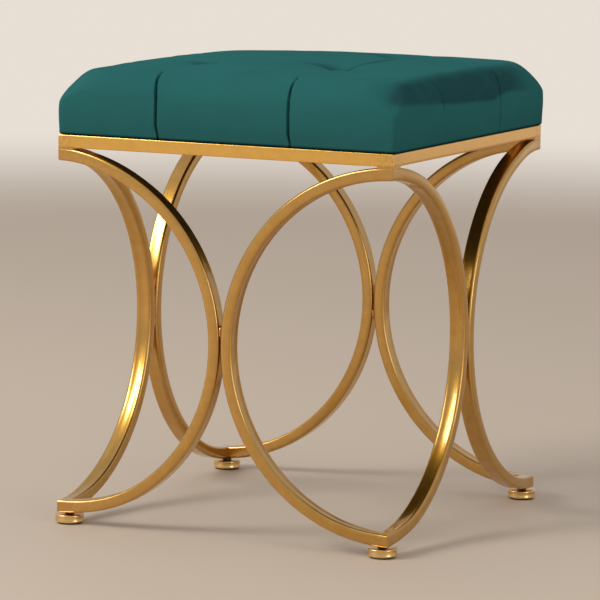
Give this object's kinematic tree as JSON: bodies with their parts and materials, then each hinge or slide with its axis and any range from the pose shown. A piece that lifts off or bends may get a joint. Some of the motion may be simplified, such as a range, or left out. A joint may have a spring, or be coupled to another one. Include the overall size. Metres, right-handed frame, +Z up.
{
  "type": "ottoman",
  "caption": "Square tufted velvet ottoman on a metal frame of straight top rails and half-round tube arcs set back to back, with screw-in levelling glides.",
  "frame": {"origin": "on the floor, under the centre of the seat", "axes": "+Z up, +X towards the right side and +Y towards the back; the front is the side along -Y, and the plan is square"},
  "size_m": [0.3838, 0.3838, 0.4725],
  "materials": {
    "gold_paint": "satin",
    "gold_weld": "satin",
    "gold_glide": "polished",
    "zinc_steel": "satin",
    "black_rubber": "matte",
    "teal_velvet": "matte",
    "foam": "matte",
    "plywood": "matte",
    "dust_cloth": "matte",
    "tuft_twine": "matte"
  },
  "bodies": {
    "frame": {"rail_front": "gold_paint", "arc_front_a": "gold_paint", "arc_front_b": "gold_paint", "weld_front": "gold_weld", "rail_right": "gold_paint", "arc_right_a": "gold_paint", "arc_right_b": "gold_paint", "weld_right": "gold_weld", "rail_back": "gold_paint", "arc_back_a": "gold_paint", "arc_back_b": "gold_paint", "weld_back": "gold_weld", "rail_left": "gold_paint", "arc_left_a": "gold_paint", "arc_left_b": "gold_paint", "weld_left": "gold_weld", "corner_plate_front_left": "gold_paint", "corner_plate_front_right": "gold_paint", "corner_plate_back_right": "gold_paint", "corner_plate_back_left": "gold_paint", "seat_screw_front_left": "zinc_steel", "tee_nut_front_left": "zinc_steel", "rivet_nut_front_left": "zinc_steel", "tuft_tie_front_left": "tuft_twine", "seat_screw_front_right": "zinc_steel", "tee_nut_front_right": "zinc_steel", "rivet_nut_front_right": "zinc_steel", "tuft_tie_front_right": "tuft_twine", "seat_screw_back_right": "zinc_steel", "tee_nut_back_right": "zinc_steel", "rivet_nut_back_right": "zinc_steel", "tuft_tie_back_right": "tuft_twine", "seat_screw_back_left": "zinc_steel", "tee_nut_back_left": "zinc_steel", "rivet_nut_back_left": "zinc_steel", "tuft_tie_back_left": "tuft_twine", "seat_board": "plywood", "foam_pad": "foam", "seat_cover": "teal_velvet", "dust_cover": "dust_cloth"},
    "foot_stud_front_left": {"foot_stud_front_left": "zinc_steel"},
    "foot_disc_front_left": {"foot_disc_front_left": "gold_glide", "foot_pad_front_left": "black_rubber"},
    "foot_stud_front_right": {"foot_stud_front_right": "zinc_steel"},
    "foot_disc_front_right": {"foot_disc_front_right": "gold_glide", "foot_pad_front_right": "black_rubber"},
    "foot_stud_back_right": {"foot_stud_back_right": "zinc_steel"},
    "foot_disc_back_right": {"foot_disc_back_right": "gold_glide", "foot_pad_back_right": "black_rubber"},
    "foot_stud_back_left": {"foot_stud_back_left": "zinc_steel"},
    "foot_disc_back_left": {"foot_disc_back_left": "gold_glide", "foot_pad_back_left": "black_rubber"}
  },
  "joints": [
    {"name": "foot_extend_front_left", "type": "slide", "parent": "frame", "child": "foot_stud_front_left", "axis": [0, 0, -1], "range_m": [0, 0.005]},
    {"name": "foot_turn_front_left", "type": "hinge", "parent": "foot_stud_front_left", "child": "foot_disc_front_left", "pos_m": [-0.1777, -0.1777, 0.005], "axis": [0, 0, -1], "range_deg": [0, 2251]},
    {"name": "foot_extend_front_right", "type": "slide", "parent": "frame", "child": "foot_stud_front_right", "axis": [0, 0, -1], "range_m": [0, 0.005]},
    {"name": "foot_turn_front_right", "type": "hinge", "parent": "foot_stud_front_right", "child": "foot_disc_front_right", "pos_m": [0.1777, -0.1777, 0.005], "axis": [0, 0, -1], "range_deg": [0, 2251]},
    {"name": "foot_extend_back_right", "type": "slide", "parent": "frame", "child": "foot_stud_back_right", "axis": [0, 0, -1], "range_m": [0, 0.005]},
    {"name": "foot_turn_back_right", "type": "hinge", "parent": "foot_stud_back_right", "child": "foot_disc_back_right", "pos_m": [0.1777, 0.1777, 0.005], "axis": [0, 0, -1], "range_deg": [0, 2251]},
    {"name": "foot_extend_back_left", "type": "slide", "parent": "frame", "child": "foot_stud_back_left", "axis": [0, 0, -1], "range_m": [0, 0.005]},
    {"name": "foot_turn_back_left", "type": "hinge", "parent": "foot_stud_back_left", "child": "foot_disc_back_left", "pos_m": [-0.1777, 0.1777, 0.005], "axis": [0, 0, -1], "range_deg": [0, 2251]}
  ],
  "couplings": [
    {"joint": "foot_turn_front_left", "follows": "foot_extend_front_left", "rad_per_m": 7854},
    {"joint": "foot_turn_front_right", "follows": "foot_extend_front_right", "rad_per_m": 7854},
    {"joint": "foot_turn_back_right", "follows": "foot_extend_back_right", "rad_per_m": 7854},
    {"joint": "foot_turn_back_left", "follows": "foot_extend_back_left", "rad_per_m": 7854}
  ]
}
